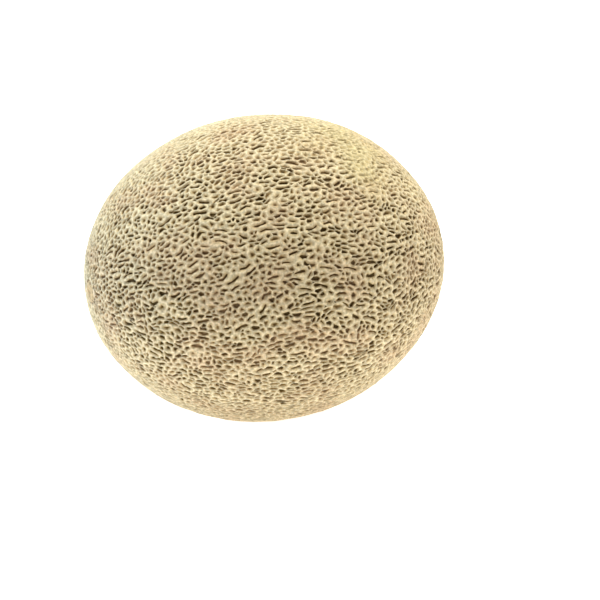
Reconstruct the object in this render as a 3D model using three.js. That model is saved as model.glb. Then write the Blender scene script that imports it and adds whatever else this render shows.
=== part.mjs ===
// A whole netted cantaloupe melon lying on its side, as picked, in millimetres with +Z up.
// +X runs along the fruit's long axis to the scar that the stem left, and -X to the blossom scar.
// The origin is the middle of the small flat spot that the fruit rests on.
//
// The rind is one closed skin, covered by cells as the meshes of a net cover a ball. The edges that
// neighbouring cells share are the crests of the raised cork net, and each cell is a pit with a wall
// and a floor. Where a cord is broken, two cells are one long pit. The net is about three times
// larger than life. Two round cells are the scars, and one oval cell is the flat spot.

import * as THREE from "three";
import { ConvexHull } from "three/addons/math/ConvexHull.js";

// Size of the fruit, over the crests of its net, and how far the flat spot cuts into the belly.
const LENGTH = 167;
const DIAMETER = 140;
const FLAT_DEPTH = 0.8;

// The raised net.
const NET_CELLS = 760;
const CELL_STRETCH = 1.2; // length along the fruit over width, at the belly
const CELL_JITTER = 0.3; // how far a cell strays from its even place, in cell widths
const BROKEN_CHANCE = 0.5; // of a cord between two cells that are still whole
const NET_HEIGHT = 1.7;
const DEPTH_RANGE = 0.3; // between the shallowest and the deepest pits, as a share of the height
const CREST_WANDER = 0.3; // how far a crest dips below the full size
const WALL_WIDTH = 1.7; // from a crest to the floor beside it
const NARROWEST_FLOOR = 0.45; // least share of the way to a corner that a floor keeps

// The scars at the two ends. Each one's rings run inwards from its rim, with the share of the rim's
// radius and the millimetres off the rind.
const STEM_SCAR_ACROSS = 18;
const STEM_SCAR_RINGS = [
  { share: 0.84, lift: -1.7 },
  { share: 0.6, lift: -1.5 },
  { share: 0.28, lift: -2.4 },
];
const BLOSSOM_SCAR_ACROSS = 12;
const BLOSSOM_SCAR_RINGS = [
  { share: 0.8, lift: -1.3 },
  { share: 0.55, lift: -0.1 },
  { share: 0.25, lift: -0.5 },
];

const RIND_COLOUR = 0xc9b88f;
const SEED = 20461;

const HALF_LENGTH = LENGTH / 2;
const RADIUS = DIAMETER / 2;
const GOLDEN_ANGLE = Math.PI * (3 - Math.sqrt(5));

// Cells are laid out on a unit ball. Its skin is pulled towards the belly by this share on the way
// to the fruit, which stretches the belly's cells along X.
const BELLY_PULL = (CELL_STRETCH * RADIUS) / HALF_LENGTH - 1;

// A repeatable source of numbers from 0 to 1.
function seededRandom(seed) {
  let state = seed >>> 0;
  return () => {
    state = (state + 0x6d2b79f5) >>> 0;
    let mixed = Math.imul(state ^ (state >>> 15), state | 1);
    mixed ^= mixed + Math.imul(mixed ^ (mixed >>> 7), mixed | 61);
    return ((mixed ^ (mixed >>> 14)) >>> 0) / 4294967296;
  };
}

// The place on the fruit for a direction from the ball's middle, lifted off the rind by lift.
function onFruit(direction, lift) {
  const fromStem = Math.acos(THREE.MathUtils.clamp(direction.x, -1, 1));
  const along = fromStem - (BELLY_PULL * Math.sin(2 * fromStem)) / 2;
  const around = Math.atan2(direction.z, direction.y);
  const round = new THREE.Vector3(
    Math.cos(along),
    Math.sin(along) * Math.cos(around),
    Math.sin(along) * Math.sin(around),
  );
  const sizes = new THREE.Vector3(HALF_LENGTH, RADIUS, RADIUS);
  const outward = round.clone().divide(sizes).normalize();
  const place = round.multiply(sizes).addScaledVector(outward, lift);
  place.z += RADIUS - FLAT_DEPTH;
  return place;
}

// The ball's angle from the stem end that onFruit turns into the given angle.
function beforePull(along) {
  let fromStem = along;
  for (let round = 0; round < 40; round++)
    fromStem = along + (BELLY_PULL * Math.sin(2 * fromStem)) / 2;
  return fromStem;
}

// Square millimetres of skin from the stem end to each of many even steps of angle.
function skinAreas(steps) {
  const step = Math.PI / steps;
  const areas = [0];
  for (let i = 0; i < steps; i++) {
    const along = (i + 0.5) * step;
    const slope = Math.hypot(HALF_LENGTH * Math.sin(along), RADIUS * Math.cos(along));
    areas.push(areas[i] + 2 * Math.PI * RADIUS * Math.sin(along) * slope * step);
  }
  return areas;
}

const SKIN_AREAS = skinAreas(20000);
const CELL_AREA = SKIN_AREAS[SKIN_AREAS.length - 1] / NET_CELLS;
const CELL_WIDTH = Math.sqrt(CELL_AREA);

// One direction for each cell's area of skin, wound in a spiral from the stem end.
function evenDirections() {
  const directions = [];
  SKIN_AREAS.forEach((area, i) => {
    if (area / CELL_AREA < directions.length + 0.5) return;
    const fromStem = beforePull((Math.PI * i) / (SKIN_AREAS.length - 1));
    const around = directions.length * GOLDEN_ANGLE;
    const direction = new THREE.Vector3(
      Math.cos(fromStem),
      Math.sin(fromStem) * Math.cos(around),
      Math.sin(fromStem) * Math.sin(around),
    );
    directions.push(direction);
  });
  return directions;
}

// The three special cells. Each has its middle, two directions along the skin there, the millimetres
// that a unit of each direction stands for, its half sizes along them, and the rings inside its rim.
const END_SCALE = RADIUS * (1 - BELLY_PULL);
const FLAT_SHARE = Math.sqrt(1 - (1 - FLAT_DEPTH / RADIUS) ** 2);
const SPOTS = [
  {
    middle: new THREE.Vector3(1, 0, 0),
    axes: [new THREE.Vector3(0, 1, 0), new THREE.Vector3(0, 0, 1)],
    scales: [END_SCALE, END_SCALE],
    halves: [STEM_SCAR_ACROSS / 2, STEM_SCAR_ACROSS / 2],
    rings: STEM_SCAR_RINGS,
  },
  {
    middle: new THREE.Vector3(-1, 0, 0),
    axes: [new THREE.Vector3(0, 1, 0), new THREE.Vector3(0, 0, -1)],
    scales: [END_SCALE, END_SCALE],
    halves: [BLOSSOM_SCAR_ACROSS / 2, BLOSSOM_SCAR_ACROSS / 2],
    rings: BLOSSOM_SCAR_RINGS,
  },
  {
    middle: new THREE.Vector3(0, 0, -1),
    axes: [new THREE.Vector3(1, 0, 0), new THREE.Vector3(0, -1, 0)],
    scales: [HALF_LENGTH * (1 + BELLY_PULL), RADIUS],
    halves: [HALF_LENGTH * FLAT_SHARE, RADIUS * FLAT_SHARE],
    rings: [],
  },
];

// Millimetres from a spot's middle along its two axes, for a direction near it.
function offsetsIn(spot, direction) {
  return spot.axes.map((axis, i) => direction.dot(axis) * spot.scales[i]);
}

// The direction that lies at the given millimetres from a spot's middle.
function directionIn(spot, offsets) {
  const direction = spot.middle.clone();
  spot.axes.forEach((axis, i) =>
    direction.addScaledVector(axis, offsets[i] / spot.scales[i]),
  );
  return direction.normalize();
}

// Whether a direction lies more than margin outside the rim of every spot.
function clearOfSpots(direction, margin) {
  return SPOTS.every((spot) => {
    if (direction.dot(spot.middle) < 0) return true;
    const shares = offsetsIn(spot, direction).map(
      (offset, i) => offset / (spot.halves[i] + margin),
    );
    return Math.hypot(...shares) > 1;
  });
}

// The middles of all cells: each spot with a ring of cells round it, then the spiral, a little strewn.
function cellMiddles(random) {
  const middles = [];
  for (const spot of SPOTS) {
    const reaches = spot.halves.map((half) => half + CELL_WIDTH / 2);
    const around = Math.PI * (reaches[0] + reaches[1]);
    const count = 2 * Math.round(around / CELL_WIDTH / 2) + 1;
    middles.push(spot.middle);
    for (let i = 0; i < count; i++) {
      const turn = (2 * Math.PI * (i + 0.35 * random())) / count;
      const stretch = 1 + 0.12 * random();
      const offsets = [Math.cos(turn), Math.sin(turn)].map(
        (share, axis) => share * reaches[axis] * stretch,
      );
      middles.push(directionIn(spot, offsets));
    }
  }
  const stray = (2 * CELL_JITTER * CELL_WIDTH) / RADIUS;
  for (const direction of evenDirections()) {
    direction.x += (random() - 0.5) * stray;
    direction.y += (random() - 0.5) * stray;
    direction.z += (random() - 0.5) * stray;
    direction.normalize();
    if (clearOfSpots(direction, 1.25 * CELL_WIDTH)) middles.push(direction);
  }
  return middles;
}

// Corners of the cells, and for each middle its cell's corners in turn, anticlockwise from outside.
function netOf(middles) {
  const indexOf = new Map(middles.map((middle, i) => [middle, i]));
  const corners = [];
  const cells = middles.map(() => []);
  for (const face of new ConvexHull().setFromPoints(middles).faces) {
    let edge = face.edge;
    const corner = corners.push(face.normal.clone().normalize()) - 1;
    do {
      cells[indexOf.get(edge.head().point)].push(corner);
      edge = edge.next;
    } while (edge !== face.edge);
  }
  cells.forEach((cell, i) => {
    const first = corners[cell[0]].clone().projectOnPlane(middles[i]).normalize();
    const second = new THREE.Vector3().crossVectors(middles[i], first);
    const turnOf = (corner) =>
      Math.atan2(corners[corner].dot(second), corners[corner].dot(first));
    cell.sort((a, b) => turnOf(a) - turnOf(b));
  });
  return { corners, cells };
}

const edgeKey = (a, b) => `${Math.min(a, b)} ${Math.max(a, b)}`;

// For each cell that is joined to another across a broken cord, the cord's edge and the other cell.
// Neighbours along the fruit come first, and a cell joins one other at most.
function brokenCords(cells, middles, random) {
  const cellsAt = new Map();
  cells.forEach((cell, i) =>
    cell.forEach((a, j) => {
      const key = edgeKey(a, cell[(j + 1) % cell.length]);
      cellsAt.set(key, [...(cellsAt.get(key) ?? []), i]);
    }),
  );
  const cords = [...cellsAt].map(([key, [i, j]]) => {
    const apart = middles[j].clone().sub(middles[i]);
    return { key, i, j, lengthwise: Math.abs(apart.x) / apart.length() + 0.7 * random() };
  });
  cords.sort((a, b) => b.lengthwise - a.lengthwise);
  const whole = middles.map((middle) => clearOfSpots(middle, 0.8 * CELL_WIDTH));
  const joins = new Map();
  for (const { key, i, j } of cords) {
    if (!whole[i] || !whole[j] || random() > BROKEN_CHANCE) continue;
    whole[i] = false;
    whole[j] = false;
    joins.set(i, { key, other: j });
    joins.set(j, { key, other: i });
  }
  return joins;
}

// A cell's loop of corners, started so that the edge with the given key closes it.
function loopFrom(cell, key) {
  const last = cell.findIndex((a, j) => edgeKey(a, cell[(j + 1) % cell.length]) === key);
  return [...cell.slice(last + 1), ...cell.slice(0, last + 1)];
}

// Every pit of the net, as its loop of corners and the direction of its middle.
function pitsOf({ corners, cells }, middles, random) {
  const joins = brokenCords(cells, middles, random);
  const middleOf = (loop) =>
    loop.reduce((sum, corner) => sum.add(corners[corner]), new THREE.Vector3()).normalize();
  const pits = [];
  cells.forEach((cell, i) => {
    if (SPOTS.some((spot) => spot.middle === middles[i])) return;
    const join = joins.get(i);
    if (!join) pits.push({ loop: cell, middle: middleOf(cell) });
    else if (i < join.other) {
      const near = loopFrom(cell, join.key);
      const far = loopFrom(cells[join.other], join.key);
      const middle = middleOf([near[0], near[near.length - 1]]);
      pits.push({ loop: [...near, ...far.slice(1, -1)], middle });
    }
  });
  return pits;
}

// The whole fruit as one closed skin.
function melonGeometry() {
  const random = seededRandom(SEED);
  const middles = cellMiddles(random);
  const net = netOf(middles);
  const { corners, cells } = net;
  const places = corners.map((corner) => onFruit(corner, -CREST_WANDER * random()));
  const triangles = [];
  const addPlace = (direction, lift) => places.push(onFruit(direction, lift)) - 1;

  // Fills the band between two loops of the same length, the outer one first.
  const addBand = (outer, inner) =>
    outer.forEach((a, j) => {
      const next = (j + 1) % outer.length;
      triangles.push(a, outer[next], inner[next], a, inner[next], inner[j]);
    });

  for (const spot of SPOTS) {
    const cell = cells[middles.indexOf(spot.middle)];
    for (const corner of cell) {
      const [u, v] = offsetsIn(spot, corners[corner]);
      const turn = Math.atan2(v / spot.halves[1], u / spot.halves[0]);
      const rim = [spot.halves[0] * Math.cos(turn), spot.halves[1] * Math.sin(turn)];
      corners[corner] = directionIn(spot, rim);
      places[corner] = onFruit(corners[corner], 0);
      if (spot.rings.length === 0) places[corner].z = 0;
    }
    let outer = cell;
    for (const { share, lift } of spot.rings) {
      const inner = cell.map((corner) => {
        const offsets = offsetsIn(spot, corners[corner]).map((offset) => offset * share);
        return addPlace(directionIn(spot, offsets), lift);
      });
      addBand(outer, inner);
      outer = inner;
    }
    for (let j = 1; j < outer.length - 1; j++)
      triangles.push(outer[0], outer[j], outer[j + 1]);
  }

  for (const { loop, middle } of pitsOf(net, middles, random)) {
    const lift = -NET_HEIGHT * (1 + DEPTH_RANGE * (random() - 0.5));
    const centre = addPlace(middle, lift);
    const floor = loop.map((corner) => {
      const reach = places[corner].distanceTo(places[centre]);
      const share = Math.max(1 - WALL_WIDTH / reach, NARROWEST_FLOOR);
      return addPlace(middle.clone().lerp(corners[corner], share).normalize(), lift);
    });
    addBand(loop, floor);
    floor.forEach((a, j) => triangles.push(centre, a, floor[(j + 1) % floor.length]));
  }

  const geometry = new THREE.BufferGeometry().setFromPoints(places);
  geometry.setIndex(triangles);
  return geometry;
}

function melonRind() {
  const material = new THREE.MeshStandardMaterial({
    color: RIND_COLOUR,
    roughness: 0.75,
    metalness: 0,
    flatShading: true,
  });
  const mesh = new THREE.Mesh(melonGeometry(), material);
  mesh.name = "melon";
  return mesh;
}

const melon = new THREE.Group();
melon.add(melonRind());

export default melon;
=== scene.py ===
"""A whole netted cantaloupe melon lying on its side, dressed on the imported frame, in metres.

+X runs along the fruit to the scar that the stem left, and the origin is the middle of the flat
spot that it rests on. The rind is one closed skin. Its net is modelled cell by cell at life size:
each cell is a many-sided face, and some pairs of cells are joined to one long pit. A pit is inset
towards its spine, which is its bent middle line, and that leaves a raised cord of cork all round
it. A wide pit is inset again to a sunk floor of bare rind, and a narrow one is drawn in to a sunk
point.
"""

import math

import bpy
import numpy as np
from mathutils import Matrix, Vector, noise


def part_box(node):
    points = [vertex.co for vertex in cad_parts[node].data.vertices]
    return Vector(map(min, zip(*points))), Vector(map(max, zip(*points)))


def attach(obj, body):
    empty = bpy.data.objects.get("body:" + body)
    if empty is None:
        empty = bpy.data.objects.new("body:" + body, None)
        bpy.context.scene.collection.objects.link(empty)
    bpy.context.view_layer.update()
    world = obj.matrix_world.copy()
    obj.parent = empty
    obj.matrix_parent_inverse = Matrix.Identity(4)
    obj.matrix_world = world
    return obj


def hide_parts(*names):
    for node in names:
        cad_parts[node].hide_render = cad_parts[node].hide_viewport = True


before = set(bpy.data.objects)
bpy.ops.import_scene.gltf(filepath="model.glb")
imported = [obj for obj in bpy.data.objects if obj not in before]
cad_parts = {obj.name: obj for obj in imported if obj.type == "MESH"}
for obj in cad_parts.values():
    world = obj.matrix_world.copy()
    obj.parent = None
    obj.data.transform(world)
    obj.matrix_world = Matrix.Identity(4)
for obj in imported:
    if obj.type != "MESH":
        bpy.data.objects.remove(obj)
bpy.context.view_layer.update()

MM = 0.001
SEED = 20461

# The fruit's body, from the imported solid.
LOW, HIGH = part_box("melon")
RADIUS = (HIGH.y - LOW.y) / 2
LENGTH_OVER_DIAMETER = 1.193
HALF_LENGTH = RADIUS * LENGTH_OVER_DIAMETER
HALF_SIZES = np.array([HALF_LENGTH, RADIUS, RADIUS])
CENTRE = Vector((0, 0, HIGH.z - RADIUS))

# The cells of the net.
CELL_AREA = 8.6 * MM * MM  # at the belly
CELL_WIDTH = math.sqrt(CELL_AREA)
END_CROWDING = 0.45  # how many more cells the same area holds near the ends
CELL_STRETCH = 1.36  # length along the fruit over width, at the belly
BELLY_STRETCH = CELL_STRETCH * RADIUS / HALF_LENGTH - 1  # past the stretch of the body itself
CELL_JITTER = 0.42  # how far a cell strays from its even place, in cell widths
DROPPED_SHARE = 0.03  # of the cells, whose neighbours fill their room
SCAR_GAP = 0.7  # from a scar's edge to the middles of the nearest cells, in cell widths
WANDER_REACH = 0.8 * MM  # how far the cords stray from straight
WANDER_LENGTH = 5 * MM

# The cords that are broken, so that the two cells beside them make one pit.
BROKEN_PER_CELL = 0.12
BREAK_CHANCE = 0.8  # what chance adds at most to a cord's score; lying across the grain adds 1
BREAK_LENGTH = 0.3  # what a cord of the mean length adds
WHOLE_RING = 3 * MM  # round a scar, where no cord is broken
GRAIN_TURN = 22  # degrees that the run of the pits mostly strays from the length of the fruit
GRAIN_LENGTH = 40 * MM

# The pits, each round its spine.
PIT_BEND = 1.3 * MM  # at most, at the middle of a spine
SPINE_OVERSHOOT = 0.05  # past the middle of each of two joined cells, over their distance
SHORTEST_REACH = 0.3 * MM  # of a spine from the middle of a round cell
PIT_HALF_WIDTH = 0.51 * MM
LEAST_WIDTH = 0.65  # the narrowest pit's half width, over PIT_HALF_WIDTH
WIDTH_RANGE = 0.7  # from the narrowest pit's to the widest's
WIDTH_POWER = 1.5  # over 1, because narrow pits are more common than wide ones
RIM_RANGE = (0.55, 1.45)  # a rim corner's distance from the spine, over the pit's half width
RIM_LIMIT = 0.72  # at most, of the way from the spine to the crest of the cords
WIDE_PIT = 0.54 * MM  # half the width from which a single cell's pit has a floor
WALL_WIDTH = 0.3 * MM  # from a pit's rim in to its floor
FLOOR_SHARE = 0.25  # the least distance of a floor's corners from the spine, over the rim's
SHOULDER_DROP = 0.5 * MM  # from the crest of the cords to a pit's rim
PIT_DEPTH = 0.95 * MM  # from a pit's rim to its bottom
FLOOR_RANGE = (0.65, 1.1)  # of PIT_DEPTH, where the bottom is a floor
POINT_RANGE = (0.8, 1.2)  # of PIT_DEPTH, where it is a point
PLAIN_RING = 0.6 * MM  # round a scar, without pits

# The skin's own unevenness: slow swells and short waves.
SWELL = 0.45 * MM
SWELL_LENGTH = 32 * MM
CREST_WAVE = 0.22 * MM
CREST_WAVE_LENGTH = 3.2 * MM

# The pale spot where the fruit lay on the ground, off the fruit's middle.
GROUND_SPOT = Vector((35, -19, 60)) * MM
GROUND_SPOT_REACH = (4 * MM, 32 * MM)  # where it starts to fade, and where it ends
GROUND_SPOT_RAG = 16 * MM  # how far its edge strays in and out
GROUND_SPOT_RAG_LENGTH = 14 * MM
SPOT_NARROWING = 0.25  # how much narrower the pits are there
SPOT_SHALLOWING = 0.5  # how much shallower

# The scars at the two ends. A profile is distances from the end, and the skin's lifts there, in mm.
STEM_SCAR_RADIUS = 9 * MM
BLOSSOM_SCAR_RADIUS = 6 * MM
SCAR_GRAIN = 0.9 * MM  # from ring to ring of a scar's small cells
STEM_PROFILE = ((0, 2.5, 5.5, 7.4, 8.3, 9.2, 10.5), (-2.2, -1.9, -1.2, -1.5, -1.3, 0.25, 0))
BLOSSOM_PROFILE = ((0, 1.4, 3, 4.4, 5.2, 6.2, 7.4), (-0.6, -0.3, 0.15, 0.1, -0.7, 0.2, 0))
BLOSSOM_PALENESS = 0.5  # how far in towards the stem scar's dark middle its colours go

# The rind's markings, and the heights where the net's painted shade and highlight change.
RIM_HEIGHT = 0.8  # a pit's rim for the colours, between its bottom at 0 and the crest at 1
PINK_PATCH = 18 * MM
CORK_FLECK = 1.3 * MM
SCAR_FLAKE = 1.6 * MM
CORK_PORE = 0.45 * MM  # real pores are finer, too fine to show
PORE_DEPTH = 0.25 * MM
SCAR_PORE_DEPTH = 0.6 * MM

# The photograph's frame, where the fruit's middle lies in it, and a camera that matches it.
FRAME_PIXELS = 600
FRUIT_PIXEL = (265.5, 267.4)
CAMERA_AZIMUTH = -19.3  # degrees
CAMERA_ELEVATION = 22
CAMERA_DISTANCE = 1.1  # metres from the fruit's middle
CAMERA_LENS = 144.6  # millimetres, as the sensor's width is
SENSOR_WIDTH = 36

GOLDEN_ANGLE = math.pi * (3 - math.sqrt(5))  # from one cell of the spiral to the next


# Shape of the fruit, where a direction is a place on a unit ball round its middle

def unit(vectors):
    """The vectors at a length of 1."""
    return vectors / np.linalg.norm(vectors, axis=1)[:, None]


def noise_at(places, length):
    """Smooth noise at each place, whose waves are about as long as length."""
    return np.array([noise.noise(Vector(place) / length) for place in places])


def off_axis(directions):
    """The distance on the skin from the end of the fruit, true near the ends only."""
    return np.hypot(directions[:, 1], directions[:, 2]) * RADIUS * (1 - BELLY_STRETCH)


def outside_scars(directions, margin):
    """Whether each direction lies more than margin outside both scars."""
    scar = np.where(directions[:, 0] > 0, STEM_SCAR_RADIUS, BLOSSOM_SCAR_RADIUS)
    return off_axis(directions) > scar + margin


def scar_values(directions):
    """How far in on a scar each direction lies, from 0 at its edge to 1 in the stem's middle."""
    stem = np.clip(1 - off_axis(directions) / STEM_SCAR_RADIUS, 0, 1)
    blossom = np.clip(1 - off_axis(directions) / BLOSSOM_SCAR_RADIUS, 0, 1) * BLOSSOM_PALENESS
    return np.where(directions[:, 0] > 0, stem, blossom)


def on_ball(along, around):
    """Directions at angles from the stem end and around the fruit's length."""
    girth = np.sin(along)
    return np.stack([np.cos(along), girth * np.cos(around), girth * np.sin(around)], axis=1)


def skin_lifts(directions):
    """How far the skin stands off the even body, by swells, waves and the profiles of the scars."""
    places = directions * HALF_SIZES
    swells = noise_at(places, SWELL_LENGTH) * SWELL
    waves = noise_at(places, CREST_WAVE_LENGTH) * CREST_WAVE
    distance = off_axis(directions) / MM
    stem = np.interp(distance, *STEM_PROFILE)
    blossom = np.interp(distance, *BLOSSOM_PROFILE)
    return swells + waves + np.where(directions[:, 0] > 0, stem, blossom) * MM


def on_skin(directions):
    """Places on the skin, longer along the fruit at the belly, and flat where the fruit rests."""
    x, y, z = unit(directions).T
    from_stem = np.arccos(np.clip(x, -1, 1))
    along = from_stem - BELLY_STRETCH * np.sin(2 * from_stem) / 2
    ball = on_ball(along, np.arctan2(z, y))
    outward = unit(ball / HALF_SIZES)
    places = ball * HALF_SIZES + outward * skin_lifts(directions)[:, None] + np.array(CENTRE)
    places[:, 2] = np.maximum(places[:, 2], 0)
    return places


def outward_at(place):
    """The rind's outward direction at a place near it."""
    normal = (place - np.array(CENTRE)) / HALF_SIZES ** 2
    return normal / np.linalg.norm(normal)


def ground_spot_at(places):
    """How much of the ground spot there is at places on the rind, from 0 to 1."""
    away = np.linalg.norm(places - np.array(CENTRE + GROUND_SPOT), axis=1)
    ragged = noise_at(places, GROUND_SPOT_RAG_LENGTH)
    return np.interp(away + ragged * GROUND_SPOT_RAG, GROUND_SPOT_REACH, (1, 0))


# Layout of the net

def even_directions():
    """One direction for each cell, wound in a spiral from the stem end."""
    steps = 20000
    along = (np.arange(steps) + 0.5) * math.pi / steps
    slope = np.hypot(HALF_LENGTH * np.sin(along), RADIUS * np.cos(along))
    area = 2 * math.pi * RADIUS * np.sin(along) * slope * math.pi / steps
    cells = np.cumsum(area * (1 + END_CROWDING * np.cos(along) ** 2)) / CELL_AREA
    count = int(cells[-1])
    wanted = np.interp(np.arange(count) + 0.5, cells, along)
    # The angle that on_skin turns into the wanted one, found by rounds of correction.
    rounds = 40
    from_stem = wanted
    for _ in range(rounds):
        from_stem = wanted + BELLY_STRETCH * np.sin(2 * from_stem) / 2
    return on_ball(from_stem, np.arange(count) * GOLDEN_ANGLE)


def scar_directions(end, radius):
    """Closely set directions in rings over a scar at one end, +1 the stem's and -1 the blossom's."""
    scale = RADIUS * (1 - BELLY_STRETCH)
    directions = [(end, 0, 0)]
    for ring in range(1, round(radius / SCAR_GRAIN) + 1):
        reach = ring * SCAR_GRAIN / scale
        count = round(2 * math.pi * ring)
        for i in range(count):
            turn = 2 * math.pi * (i + 0.5 * (ring % 2)) / count
            directions.append((end, reach * math.cos(turn), reach * math.sin(turn)))
    return unit(np.array(directions, float))


def cell_middles():
    """The directions of all cells of the net and of the two scars' grain."""
    rng = np.random.default_rng(SEED)
    middles = even_directions()
    stray = 2 * CELL_JITTER * CELL_WIDTH / RADIUS
    middles = unit(middles + (rng.random(middles.shape) - 0.5) * stray)
    keep = rng.random(len(middles)) > DROPPED_SHARE
    keep &= outside_scars(middles, SCAR_GAP * CELL_WIDTH)
    stem = scar_directions(1, STEM_SCAR_RADIUS)
    blossom = scar_directions(-1, BLOSSOM_SCAR_RADIUS)
    return np.concatenate([middles[keep], stem, blossom])


def grain_at(directions):
    """The way that pits run at each direction: along the fruit, but turned by slow noise."""
    turns = np.radians(GRAIN_TURN) * 2 * noise_at(directions * HALF_SIZES, GRAIN_LENGTH)[:, None]
    outward = unit(directions)
    along = unit(np.array([1.0, 0, 0]) - outward * outward[:, :1])
    return along * np.cos(turns) + np.cross(outward, along) * np.sin(turns)


def wander(directions):
    """Bends the cords a little, by noise longer than a cell is wide."""
    places = directions * HALF_SIZES
    shifts = [noise.noise_vector(Vector(place) / WANDER_LENGTH) for place in places]
    return directions + np.array(shifts) * WANDER_REACH / RADIUS


# Nodes and colours

def add_node(tree, kind, links=None, stops=None, **settings):
    """A new node with its settings, its inputs set to values or linked to other outputs, and a
    ramp's stops, which are positions from 0 to 1 with their hex colours."""
    node = tree.nodes.new(kind)
    for name, value in settings.items():
        setattr(node, name, value)
    for socket, value in (links or {}).items():
        if isinstance(value, bpy.types.NodeSocket):
            tree.links.new(value, node.inputs[socket])
        else:
            node.inputs[socket].default_value = value
    if stops:
        elements = node.color_ramp.elements
        elements.remove(elements[1])
        for position, code in stops.items():
            element = elements.new(position) if position else elements[0]
            element.color = linear(code)
    return node


def linear(code):
    """An sRGB hex colour as a linear colour with alpha."""
    channels = [int(code[i : i + 2], 16) / 255 for i in (1, 3, 5)]
    return [c / 12.92 if c <= 0.04045 else ((c + 0.055) / 1.055) ** 2.4 for c in channels] + [1]


# Modelling steps

def hull_of(name, points):
    """A new object: the closed triangle mesh over points that all lie on a ball."""
    for piece in bpy.context.selected_objects:
        piece.select_set(False)
    mesh = bpy.data.meshes.new(name)
    mesh.from_pydata([tuple(point) for point in points], [], [])
    hull = bpy.data.objects.new(name, mesh)
    bpy.context.scene.collection.objects.link(hull)
    hull.select_set(True)
    bpy.context.view_layer.objects.active = hull
    bpy.ops.object.mode_set(mode="EDIT")
    bpy.ops.mesh.select_all(action="SELECT")
    bpy.ops.mesh.convex_hull(join_triangles=False)
    bpy.ops.object.mode_set(mode="OBJECT")
    return hull


def turn_into_cells(piece):
    """Swaps corners and faces, so that each point becomes a cell with neighbours all round."""
    tree = bpy.data.node_groups.new("cells", "GeometryNodeTree")
    tree.interface.new_socket("Geometry", in_out="INPUT", socket_type="NodeSocketGeometry")
    tree.interface.new_socket("Geometry", in_out="OUTPUT", socket_type="NodeSocketGeometry")
    start = add_node(tree, "NodeGroupInput")
    dual = add_node(tree, "GeometryNodeDualMesh", {"Mesh": start.outputs[0]})
    add_node(tree, "NodeGroupOutput", {0: dual.outputs[0]})
    modifier = piece.modifiers.new("cells", "NODES")
    modifier.node_group = tree
    bpy.ops.object.modifier_apply(modifier=modifier.name)


def positions(mesh):
    flat = np.empty(len(mesh.vertices) * 3, np.float32)
    mesh.vertices.foreach_get("co", flat)
    return flat.reshape(-1, 3).astype(float)


def set_positions(mesh, places):
    mesh.vertices.foreach_set("co", places.astype(np.float32).ravel())
    mesh.update()


def face_middles(mesh):
    return np.array([face.center for face in mesh.polygons])


def add_values(mesh, name, values):
    """Stores one value for each vertex, for the material to read."""
    values = np.asarray(values, np.float32)
    mesh.attributes.new(name, "FLOAT", "POINT").data.foreach_set("value", values)


def select_only(piece, kind, chosen):
    """Selects the chosen edges or faces of a piece, and nothing else, for edit mode."""
    bpy.context.tool_settings.mesh_select_mode = (False, kind == "edges", kind == "polygons")
    bpy.ops.object.mode_set(mode="EDIT")
    bpy.ops.mesh.select_all(action="DESELECT")
    bpy.ops.object.mode_set(mode="OBJECT")
    items = getattr(piece.data, kind)
    marks = np.zeros(len(items), bool)
    marks[chosen] = True
    items.foreach_set("select", marks)


def break_cords(piece):
    """Dissolves some cords across the grain, so that the two cells beside them make one pit.

    Each face then carries the number of its first cell as its "pit" value. Returns the second
    cell of each joined pair by the number of its first."""
    mesh = piece.data
    rng = np.random.default_rng(SEED + 1)
    ends = np.array([edge.vertices[:] for edge in mesh.edges])
    places = positions(mesh)
    run = places[ends[:, 1]] - places[ends[:, 0]]
    length = np.linalg.norm(run, axis=1)
    middles = (places[ends[:, 1]] + places[ends[:, 0]]) / 2
    across = 1 - np.abs((run * grain_at(middles)).sum(axis=1)) / length
    chance = BREAK_CHANCE * rng.random(len(ends))
    score = across + chance + BREAK_LENGTH * length / length.mean()
    breakable = outside_scars(middles, WHOLE_RING)
    cells_beside = {}
    for cell in mesh.polygons:
        for key in cell.edge_keys:
            cells_beside.setdefault(key, []).append(cell.index)
    pit_of = list(range(len(mesh.polygons)))
    second_of = {}
    joined = set()
    chosen = []
    for i in np.argsort(-score):
        if len(chosen) > BROKEN_PER_CELL * len(pit_of):
            break
        first, second = cells_beside[tuple(sorted(ends[i].tolist()))]
        if breakable[i] and first not in joined and second not in joined:
            pit_of[second] = first
            second_of[first] = second
            joined.update((first, second))
            chosen.append(i)
    mesh.attributes.new("pit", "INT", "FACE").data.foreach_set("value", pit_of)
    select_only(piece, "edges", chosen)
    bpy.ops.object.mode_set(mode="EDIT")
    bpy.ops.mesh.dissolve_edges(use_verts=False)
    bpy.ops.object.mode_set(mode="OBJECT")
    return second_of


# Pits

def ends_along(corners):
    """The ends of a spine that runs along the only cell of a pit."""
    centre = corners.mean(axis=0)
    spokes = corners - centre
    axes = np.linalg.svd(spokes, full_matrices=False)[2]
    excess = np.abs(spokes @ axes[0]).max() - np.abs(spokes @ axes[1]).max()
    reach = axes[0] * max(excess, SHORTEST_REACH)
    return centre - reach, centre + reach


def ends_past(first, second):
    """The ends of a spine that runs through the middles of two joined cells."""
    overshoot = (second - first) * SPINE_OVERSHOOT
    return first - overshoot, second + overshoot


def bent_line(ends, outward, bend):
    """Two segments between the ends, with a kink between them that stands off by bend."""
    start, end = ends
    aside = np.cross(outward, end - start)
    kink = (start + end) / 2 + aside / np.linalg.norm(aside) * bend
    return [(start, kink), (kink, end)]


def nearest_on(segments, corners):
    """The nearest point to each corner on any of the segments."""
    starts = np.array([start for start, _ in segments])
    runs = np.array([end for _, end in segments]) - starts
    off = corners[:, None] - starts
    share = np.clip((off * runs).sum(axis=2) / (runs * runs).sum(axis=1), 0, 1)
    points = starts + share[:, :, None] * runs
    gaps = np.linalg.norm(corners[:, None] - points, axis=2)
    return points[np.arange(len(corners)), gaps.argmin(axis=1)]


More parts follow.
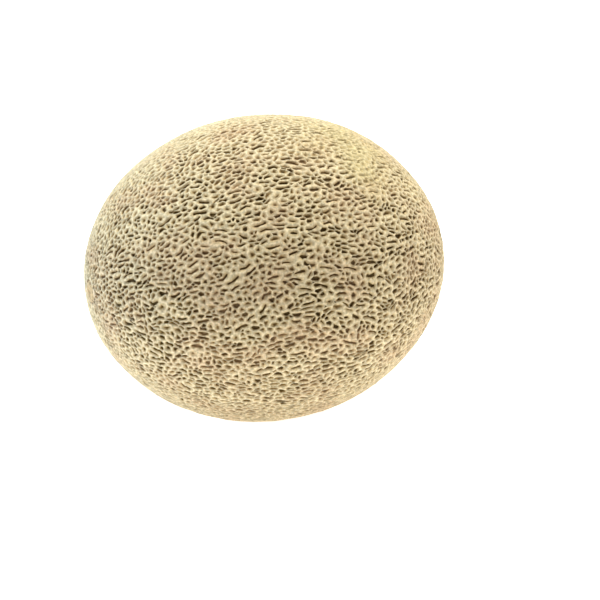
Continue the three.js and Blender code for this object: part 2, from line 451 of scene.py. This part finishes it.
def inset_pits(piece, pits, spines, narrowed, drops):
    """Insets the pits' faces towards their spines, to the distance that narrowed gives for each
    corner's distance from its spine, and lowers them.

    pits are face indices, which an inset keeps for the inner faces."""
    select_only(piece, "polygons", pits)
    bpy.ops.object.mode_set(mode="EDIT")
    bpy.ops.mesh.inset(thickness=0, depth=0, use_individual=True)
    bpy.ops.object.mode_set(mode="OBJECT")
    mesh = piece.data
    places = positions(mesh)
    on_spine = 1e-9  # a corner nearer than that counts as on its spine
    for i, pit in enumerate(pits):
        corners = list(mesh.polygons[pit].vertices)
        roots = nearest_on(spines[i], places[corners])
        spokes = places[corners] - roots
        reach = np.linalg.norm(spokes, axis=1)
        share = (narrowed(i, reach) / np.maximum(reach, on_spine))[:, None]
        outward = outward_at(places[corners].mean(axis=0))
        places[corners] = roots + spokes * share - outward * drops[i]
    set_positions(mesh, places)


def poke_pits(piece, pits):
    """Draws each pit's face in to one sunk point."""
    first = len(piece.data.vertices)
    select_only(piece, "polygons", pits)
    bpy.ops.object.mode_set(mode="EDIT")
    bpy.ops.mesh.poke(offset=0, center_mode="MEDIAN")
    bpy.ops.object.mode_set(mode="OBJECT")
    places = positions(piece.data)
    points = places[first:]
    rng = np.random.default_rng(SEED + 3)
    depths = PIT_DEPTH * rng.uniform(*POINT_RANGE, len(points))
    drops = depths * (1 - SPOT_SHALLOWING * ground_spot_at(points))
    for i, drop in enumerate(drops):
        points[i] -= outward_at(points[i]) * drop
    set_positions(piece.data, places)


def sink_pits(piece, pits, spines, joined, rng):
    """Insets and sinks all pits, of which joined says whether each has two cells.

    Returns how many of the piece's corners are on the crest of the cords or on a rim."""
    mesh = piece.data
    count = len(pits)
    flatness = ground_spot_at(face_middles(mesh)[pits])
    widths = LEAST_WIDTH + WIDTH_RANGE * rng.random(count) ** WIDTH_POWER
    half_widths = PIT_HALF_WIDTH * widths * (1 - SPOT_NARROWING * flatness)

    def to_rim(i, reach):
        wanted = half_widths[i] * rng.uniform(*RIM_RANGE, len(reach))
        return np.minimum(wanted, reach * RIM_LIMIT)

    def to_floor(i, reach):
        return np.maximum(reach - WALL_WIDTH, reach * FLOOR_SHARE)

    inset_pits(piece, pits, spines, to_rim, np.full(count, SHOULDER_DROP))
    rim_count = len(mesh.vertices)
    drops = PIT_DEPTH * rng.uniform(*FLOOR_RANGE, count) * (1 - SPOT_SHALLOWING * flatness)
    wide = [i for i in range(count) if joined[i] or half_widths[i] > WIDE_PIT]
    inset_pits(piece, [pits[i] for i in wide], [spines[i] for i in wide], to_floor, drops[wide])
    narrow = sorted(set(range(count)) - set(wide))
    poke_pits(piece, [pits[i] for i in narrow])
    return rim_count


def model_melon():
    """The rind with its net and its two scars, as one closed skin."""
    piece = hull_of("melon_rind", cell_middles())
    turn_into_cells(piece)
    mesh = piece.data
    middles = on_skin(wander(face_middles(mesh)))
    second_of = break_cords(piece)
    pits = np.flatnonzero(outside_scars(face_middles(mesh), PLAIN_RING)).tolist()
    directions = wander(positions(mesh))
    places = on_skin(directions)
    set_positions(mesh, places)
    crest_count = len(places)

    rng = np.random.default_rng(SEED + 2)
    spines = []
    joined = []
    for pit in pits:
        corners = places[list(mesh.polygons[pit].vertices)]
        first = mesh.attributes["pit"].data[pit].value
        second = second_of.get(first)
        if second is None:
            ends = ends_along(corners)
        else:
            ends = ends_past(middles[first], middles[second])
        bend = PIT_BEND * rng.uniform(-1, 1)
        spines.append(bent_line(ends, outward_at(corners[0]), bend))
        joined.append(second is not None)
    rim_count = sink_pits(piece, pits, spines, joined, rng)

    # New corners follow the old ones, so the crest's come first, then the rims', then the bottoms'.
    heights = np.zeros(len(mesh.vertices))
    heights[:rim_count] = RIM_HEIGHT
    heights[:crest_count] = 1
    scars = np.zeros(len(mesh.vertices))
    scars[:crest_count] = scar_values(directions)
    add_values(mesh, "net_height", heights)
    add_values(mesh, "ground_spot", ground_spot_at(positions(mesh)))
    add_values(mesh, "scar", scars)
    mesh.shade_smooth()
    return piece


# Materials

def netted_rind():
    """Dry cork net over a muskmelon's waxy rind: dull, matt and pale, with olive-brown pits. The
    pits are painted darker down their walls as shade, and the cords' crests are painted paler as a
    highlight.
    """
    material = bpy.data.materials.new("netted_rind")
    material.use_nodes = True
    tree = material.node_tree
    tree.nodes.clear()
    place = add_node(tree, "ShaderNodeTexCoord").outputs["Object"]
    height = add_node(tree, "ShaderNodeAttribute", attribute_name="net_height").outputs["Fac"]
    spot = add_node(tree, "ShaderNodeAttribute", attribute_name="ground_spot").outputs["Fac"]
    scar = add_node(tree, "ShaderNodeAttribute", attribute_name="scar").outputs["Fac"]

    # Rind at the bottom of the pits, their walls, the edge of the cords and their pale crest. The
    # cork is paler than the olive rind, but the darkening down the walls to the floors is painted
    # shade, and the palest crest is a painted highlight.
    net_with_pit_shade_and_crest_highlight = add_node(
        tree,
        "ShaderNodeValToRGB",
        {"Fac": height},
        stops={0: "#503D16", 0.45: "#775C30", RIM_HEIGHT: "#AE966A", 1: "#D7C6A0"},
    ).outputs[0]

    # Ripe cork turns pinkish in slow patches, and the ground spot stays yellow.
    patches = add_node(
        tree, "ShaderNodeTexNoise", {"Vector": place, "Scale": 1 / PINK_PATCH, "Detail": 2}
    ).outputs[0]
    pinkness = add_node(
        tree,
        "ShaderNodeMapRange",
        {"Value": patches, "From Min": 0.45, "From Max": 0.7, "To Max": 0.32},
    ).outputs[0]
    pink = add_node(
        tree, "ShaderNodeMix", {0: pinkness, 6: net_with_pit_shade_and_crest_highlight, 7: linear("#B8906E")}, data_type="RGBA"
    ).outputs[2]
    yellowness = add_node(tree, "ShaderNodeMapRange", {"Value": spot, "To Max": 0.6}).outputs[0]
    yellow = add_node(
        tree, "ShaderNodeMix", {0: yellowness, 6: pink, 7: linear("#C4B27E")}, data_type="RGBA"
    ).outputs[2]

    # The scars: a dark ring of painted shade in the groove round dry cork, which browns towards the
    # middle, ragged all over.
    flakes = add_node(
        tree, "ShaderNodeTexNoise", {"Vector": place, "Scale": 1 / SCAR_FLAKE, "Detail": 4}
    ).outputs[0]
    shifts = add_node(
        tree,
        "ShaderNodeMapRange",
        {"Value": flakes, "From Min": 0.3, "From Max": 0.7, "To Min": -0.12, "To Max": 0.12},
    ).outputs[0]
    ragged = add_node(tree, "ShaderNodeMath", {0: scar, 1: shifts}, operation="ADD").outputs[0]
    # The ramp's dark first stop is painted shade in the groove at the scar's edge.
    scar_cork_with_groove_shade = add_node(
        tree,
        "ShaderNodeValToRGB",
        {"Fac": ragged},
        stops={0: "#6F5534", 0.14: "#C9AE82", 0.5: "#B4976B", 0.8: "#8F7048", 1: "#6A4F30"},
    ).outputs[0]
    scar_cover = add_node(tree, "ShaderNodeMapRange", {"Value": scar, "From Max": 0.05}).outputs[0]
    brown = add_node(
        tree, "ShaderNodeMix", {0: scar_cover, 6: yellow, 7: scar_cork_with_groove_shade}, data_type="RGBA"
    ).outputs[2]

    # Cork is darker and paler in flecks about as large as a cord is wide.
    specks = add_node(
        tree, "ShaderNodeTexNoise", {"Vector": place, "Scale": 1 / CORK_FLECK, "Detail": 3}
    ).outputs[0]
    flecks = add_node(
        tree,
        "ShaderNodeMapRange",
        {"Value": specks, "From Min": 0.35, "From Max": 0.65, "To Min": 0.72, "To Max": 1.24},
    ).outputs[0]
    colour = add_node(
        tree,
        "ShaderNodeMix",
        {0: 1.0, 6: brown, 7: flecks},
        data_type="RGBA",
        blend_type="MULTIPLY",
    ).outputs[2]

    # Its pores roughen the whole skin, and the scars the most.
    pores = add_node(
        tree, "ShaderNodeTexNoise", {"Vector": place, "Scale": 1 / CORK_PORE, "Detail": 4}
    ).outputs[0]
    depth = add_node(
        tree,
        "ShaderNodeMapRange",
        {"Value": scar, "From Max": 0.2, "To Min": PORE_DEPTH, "To Max": SCAR_PORE_DEPTH},
    ).outputs[0]
    bump = add_node(tree, "ShaderNodeBump", {"Height": pores, "Strength": 1, "Distance": depth})

    # Dry cork scatters nearly all of its light and hardly shines.
    surface = add_node(
        tree,
        "ShaderNodeBsdfPrincipled",
        {"Base Color": colour, "Roughness": 0.8, "IOR": 1.36, "Normal": bump.outputs[0]},
    )
    add_node(tree, "ShaderNodeOutputMaterial", {"Surface": surface.outputs[0]})
    return material


# Stage

def stage_floor():
    """Matt white card under the fruit, which glows so that it is as white as the backdrop."""
    bpy.ops.mesh.primitive_plane_add(size=6)
    floor = bpy.context.object
    floor.name = "floor"
    material = bpy.data.materials.new("white_card")
    material.use_nodes = True
    shader = material.node_tree.nodes["Principled BSDF"]
    shader.inputs["Base Color"].default_value = linear("#FFFFFF")
    shader.inputs["Roughness"].default_value = 0.9
    shader.inputs["Emission Color"].default_value = linear("#FFFFFF")
    shader.inputs["Emission Strength"].default_value = 0.8
    floor.data.materials.append(material)


def light_from(name, offset, power, size, colour):
    """A soft square light at an offset from the fruit's middle, facing it."""
    lamp = bpy.data.lights.new(name, "AREA")
    lamp.energy = power
    lamp.size = size
    lamp.color = colour
    light = bpy.data.objects.new(name, lamp)
    light.location = CENTRE + Vector(offset)
    light.rotation_euler = (-Vector(offset)).to_track_quat("-Z", "Y").to_euler()
    bpy.context.scene.collection.objects.link(light)


def light_studio():
    """A dim white world, a light overhead, a bluish window on the left and a warm fill."""
    world = bpy.data.worlds.new("studio")
    bpy.context.scene.world = world
    world.use_nodes = True
    world.node_tree.nodes["Background"].inputs["Color"].default_value = linear("#FFFFFF")
    world.node_tree.nodes["Background"].inputs["Strength"].default_value = 0.33
    light_from("overhead", (0.08, 0.12, 0.98), power=13, size=0.3, colour=(0.94, 0.99, 1))
    light_from("window", (-0.86, 0.26, 0.12), power=7, size=0.6, colour=(0.54, 0.73, 1))
    light_from("fill", (0.9, -0.1, 0.2), power=2.8, size=0.6, colour=(1, 0.96, 0.9))
    bpy.context.scene.view_settings.view_transform = "Standard"


def place_camera():
    """The photograph's camera, turned so that the fruit's middle falls on its pixel."""
    azimuth, elevation = math.radians(CAMERA_AZIMUTH), math.radians(CAMERA_ELEVATION)
    back = Vector(
        (
            math.sin(azimuth) * math.cos(elevation),
            -math.cos(azimuth) * math.cos(elevation),
            math.sin(elevation),
        )
    )
    right = Vector((0, 0, 1)).cross(back).normalized()
    up = back.cross(right)
    pixel = CAMERA_DISTANCE * SENSOR_WIDTH / CAMERA_LENS / FRAME_PIXELS
    aim = (
        CENTRE
        + right * (FRAME_PIXELS / 2 - FRUIT_PIXEL[0]) * pixel
        - up * (FRAME_PIXELS / 2 - FRUIT_PIXEL[1]) * pixel
    )
    camera = bpy.data.objects.new("camera", bpy.data.cameras.new("camera"))
    camera.data.lens = CAMERA_LENS
    camera.data.sensor_width = SENSOR_WIDTH
    camera.location = CENTRE + back * CAMERA_DISTANCE
    camera.rotation_euler = (aim - camera.location).to_track_quat("-Z", "Y").to_euler()
    bpy.context.scene.collection.objects.link(camera)
    bpy.context.scene.camera = camera


place_camera()
light_studio()
stage_floor()

# Blender's noise differs from run to run unless it is seeded.
noise.seed_set(SEED)
melon = model_melon()
melon.data.materials.append(netted_rind())
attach(melon, "root")
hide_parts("melon")
